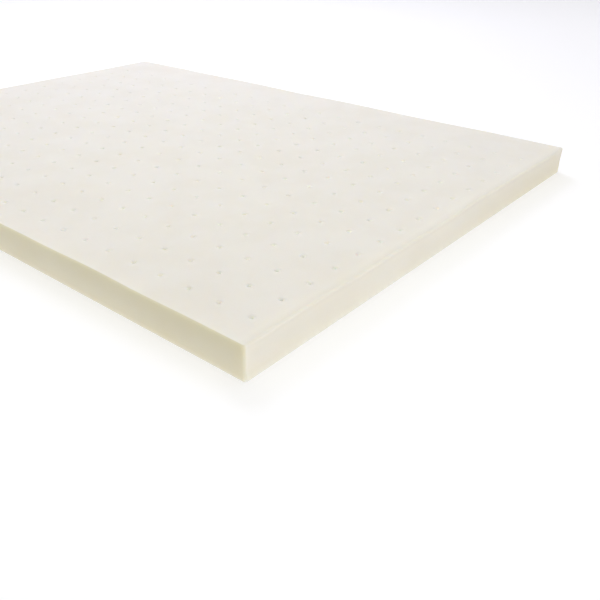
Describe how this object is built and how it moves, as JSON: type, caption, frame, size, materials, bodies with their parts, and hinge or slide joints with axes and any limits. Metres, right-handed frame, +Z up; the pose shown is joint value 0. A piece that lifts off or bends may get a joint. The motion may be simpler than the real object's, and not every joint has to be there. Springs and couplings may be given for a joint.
{
  "type": "mattress topper",
  "caption": "One-piece foam mattress topper lying flat, with softly rounded edges and a square grid of small round ventilation channels from top to bottom.",
  "frame": {"origin": "centre of the underside, on the surface that the topper lies on", "axes": "+X across the topper, +Y along it towards the head end, +Z up out of the sleeping face"},
  "size_m": [1.372, 1.905, 0.0762],
  "materials": {
    "foam": "Matt pale cream open-cell foam with a fine cellular grain and cut sides."
  },
  "bodies": {
    "root": {"topper": "foam"}
  },
  "joints": []
}
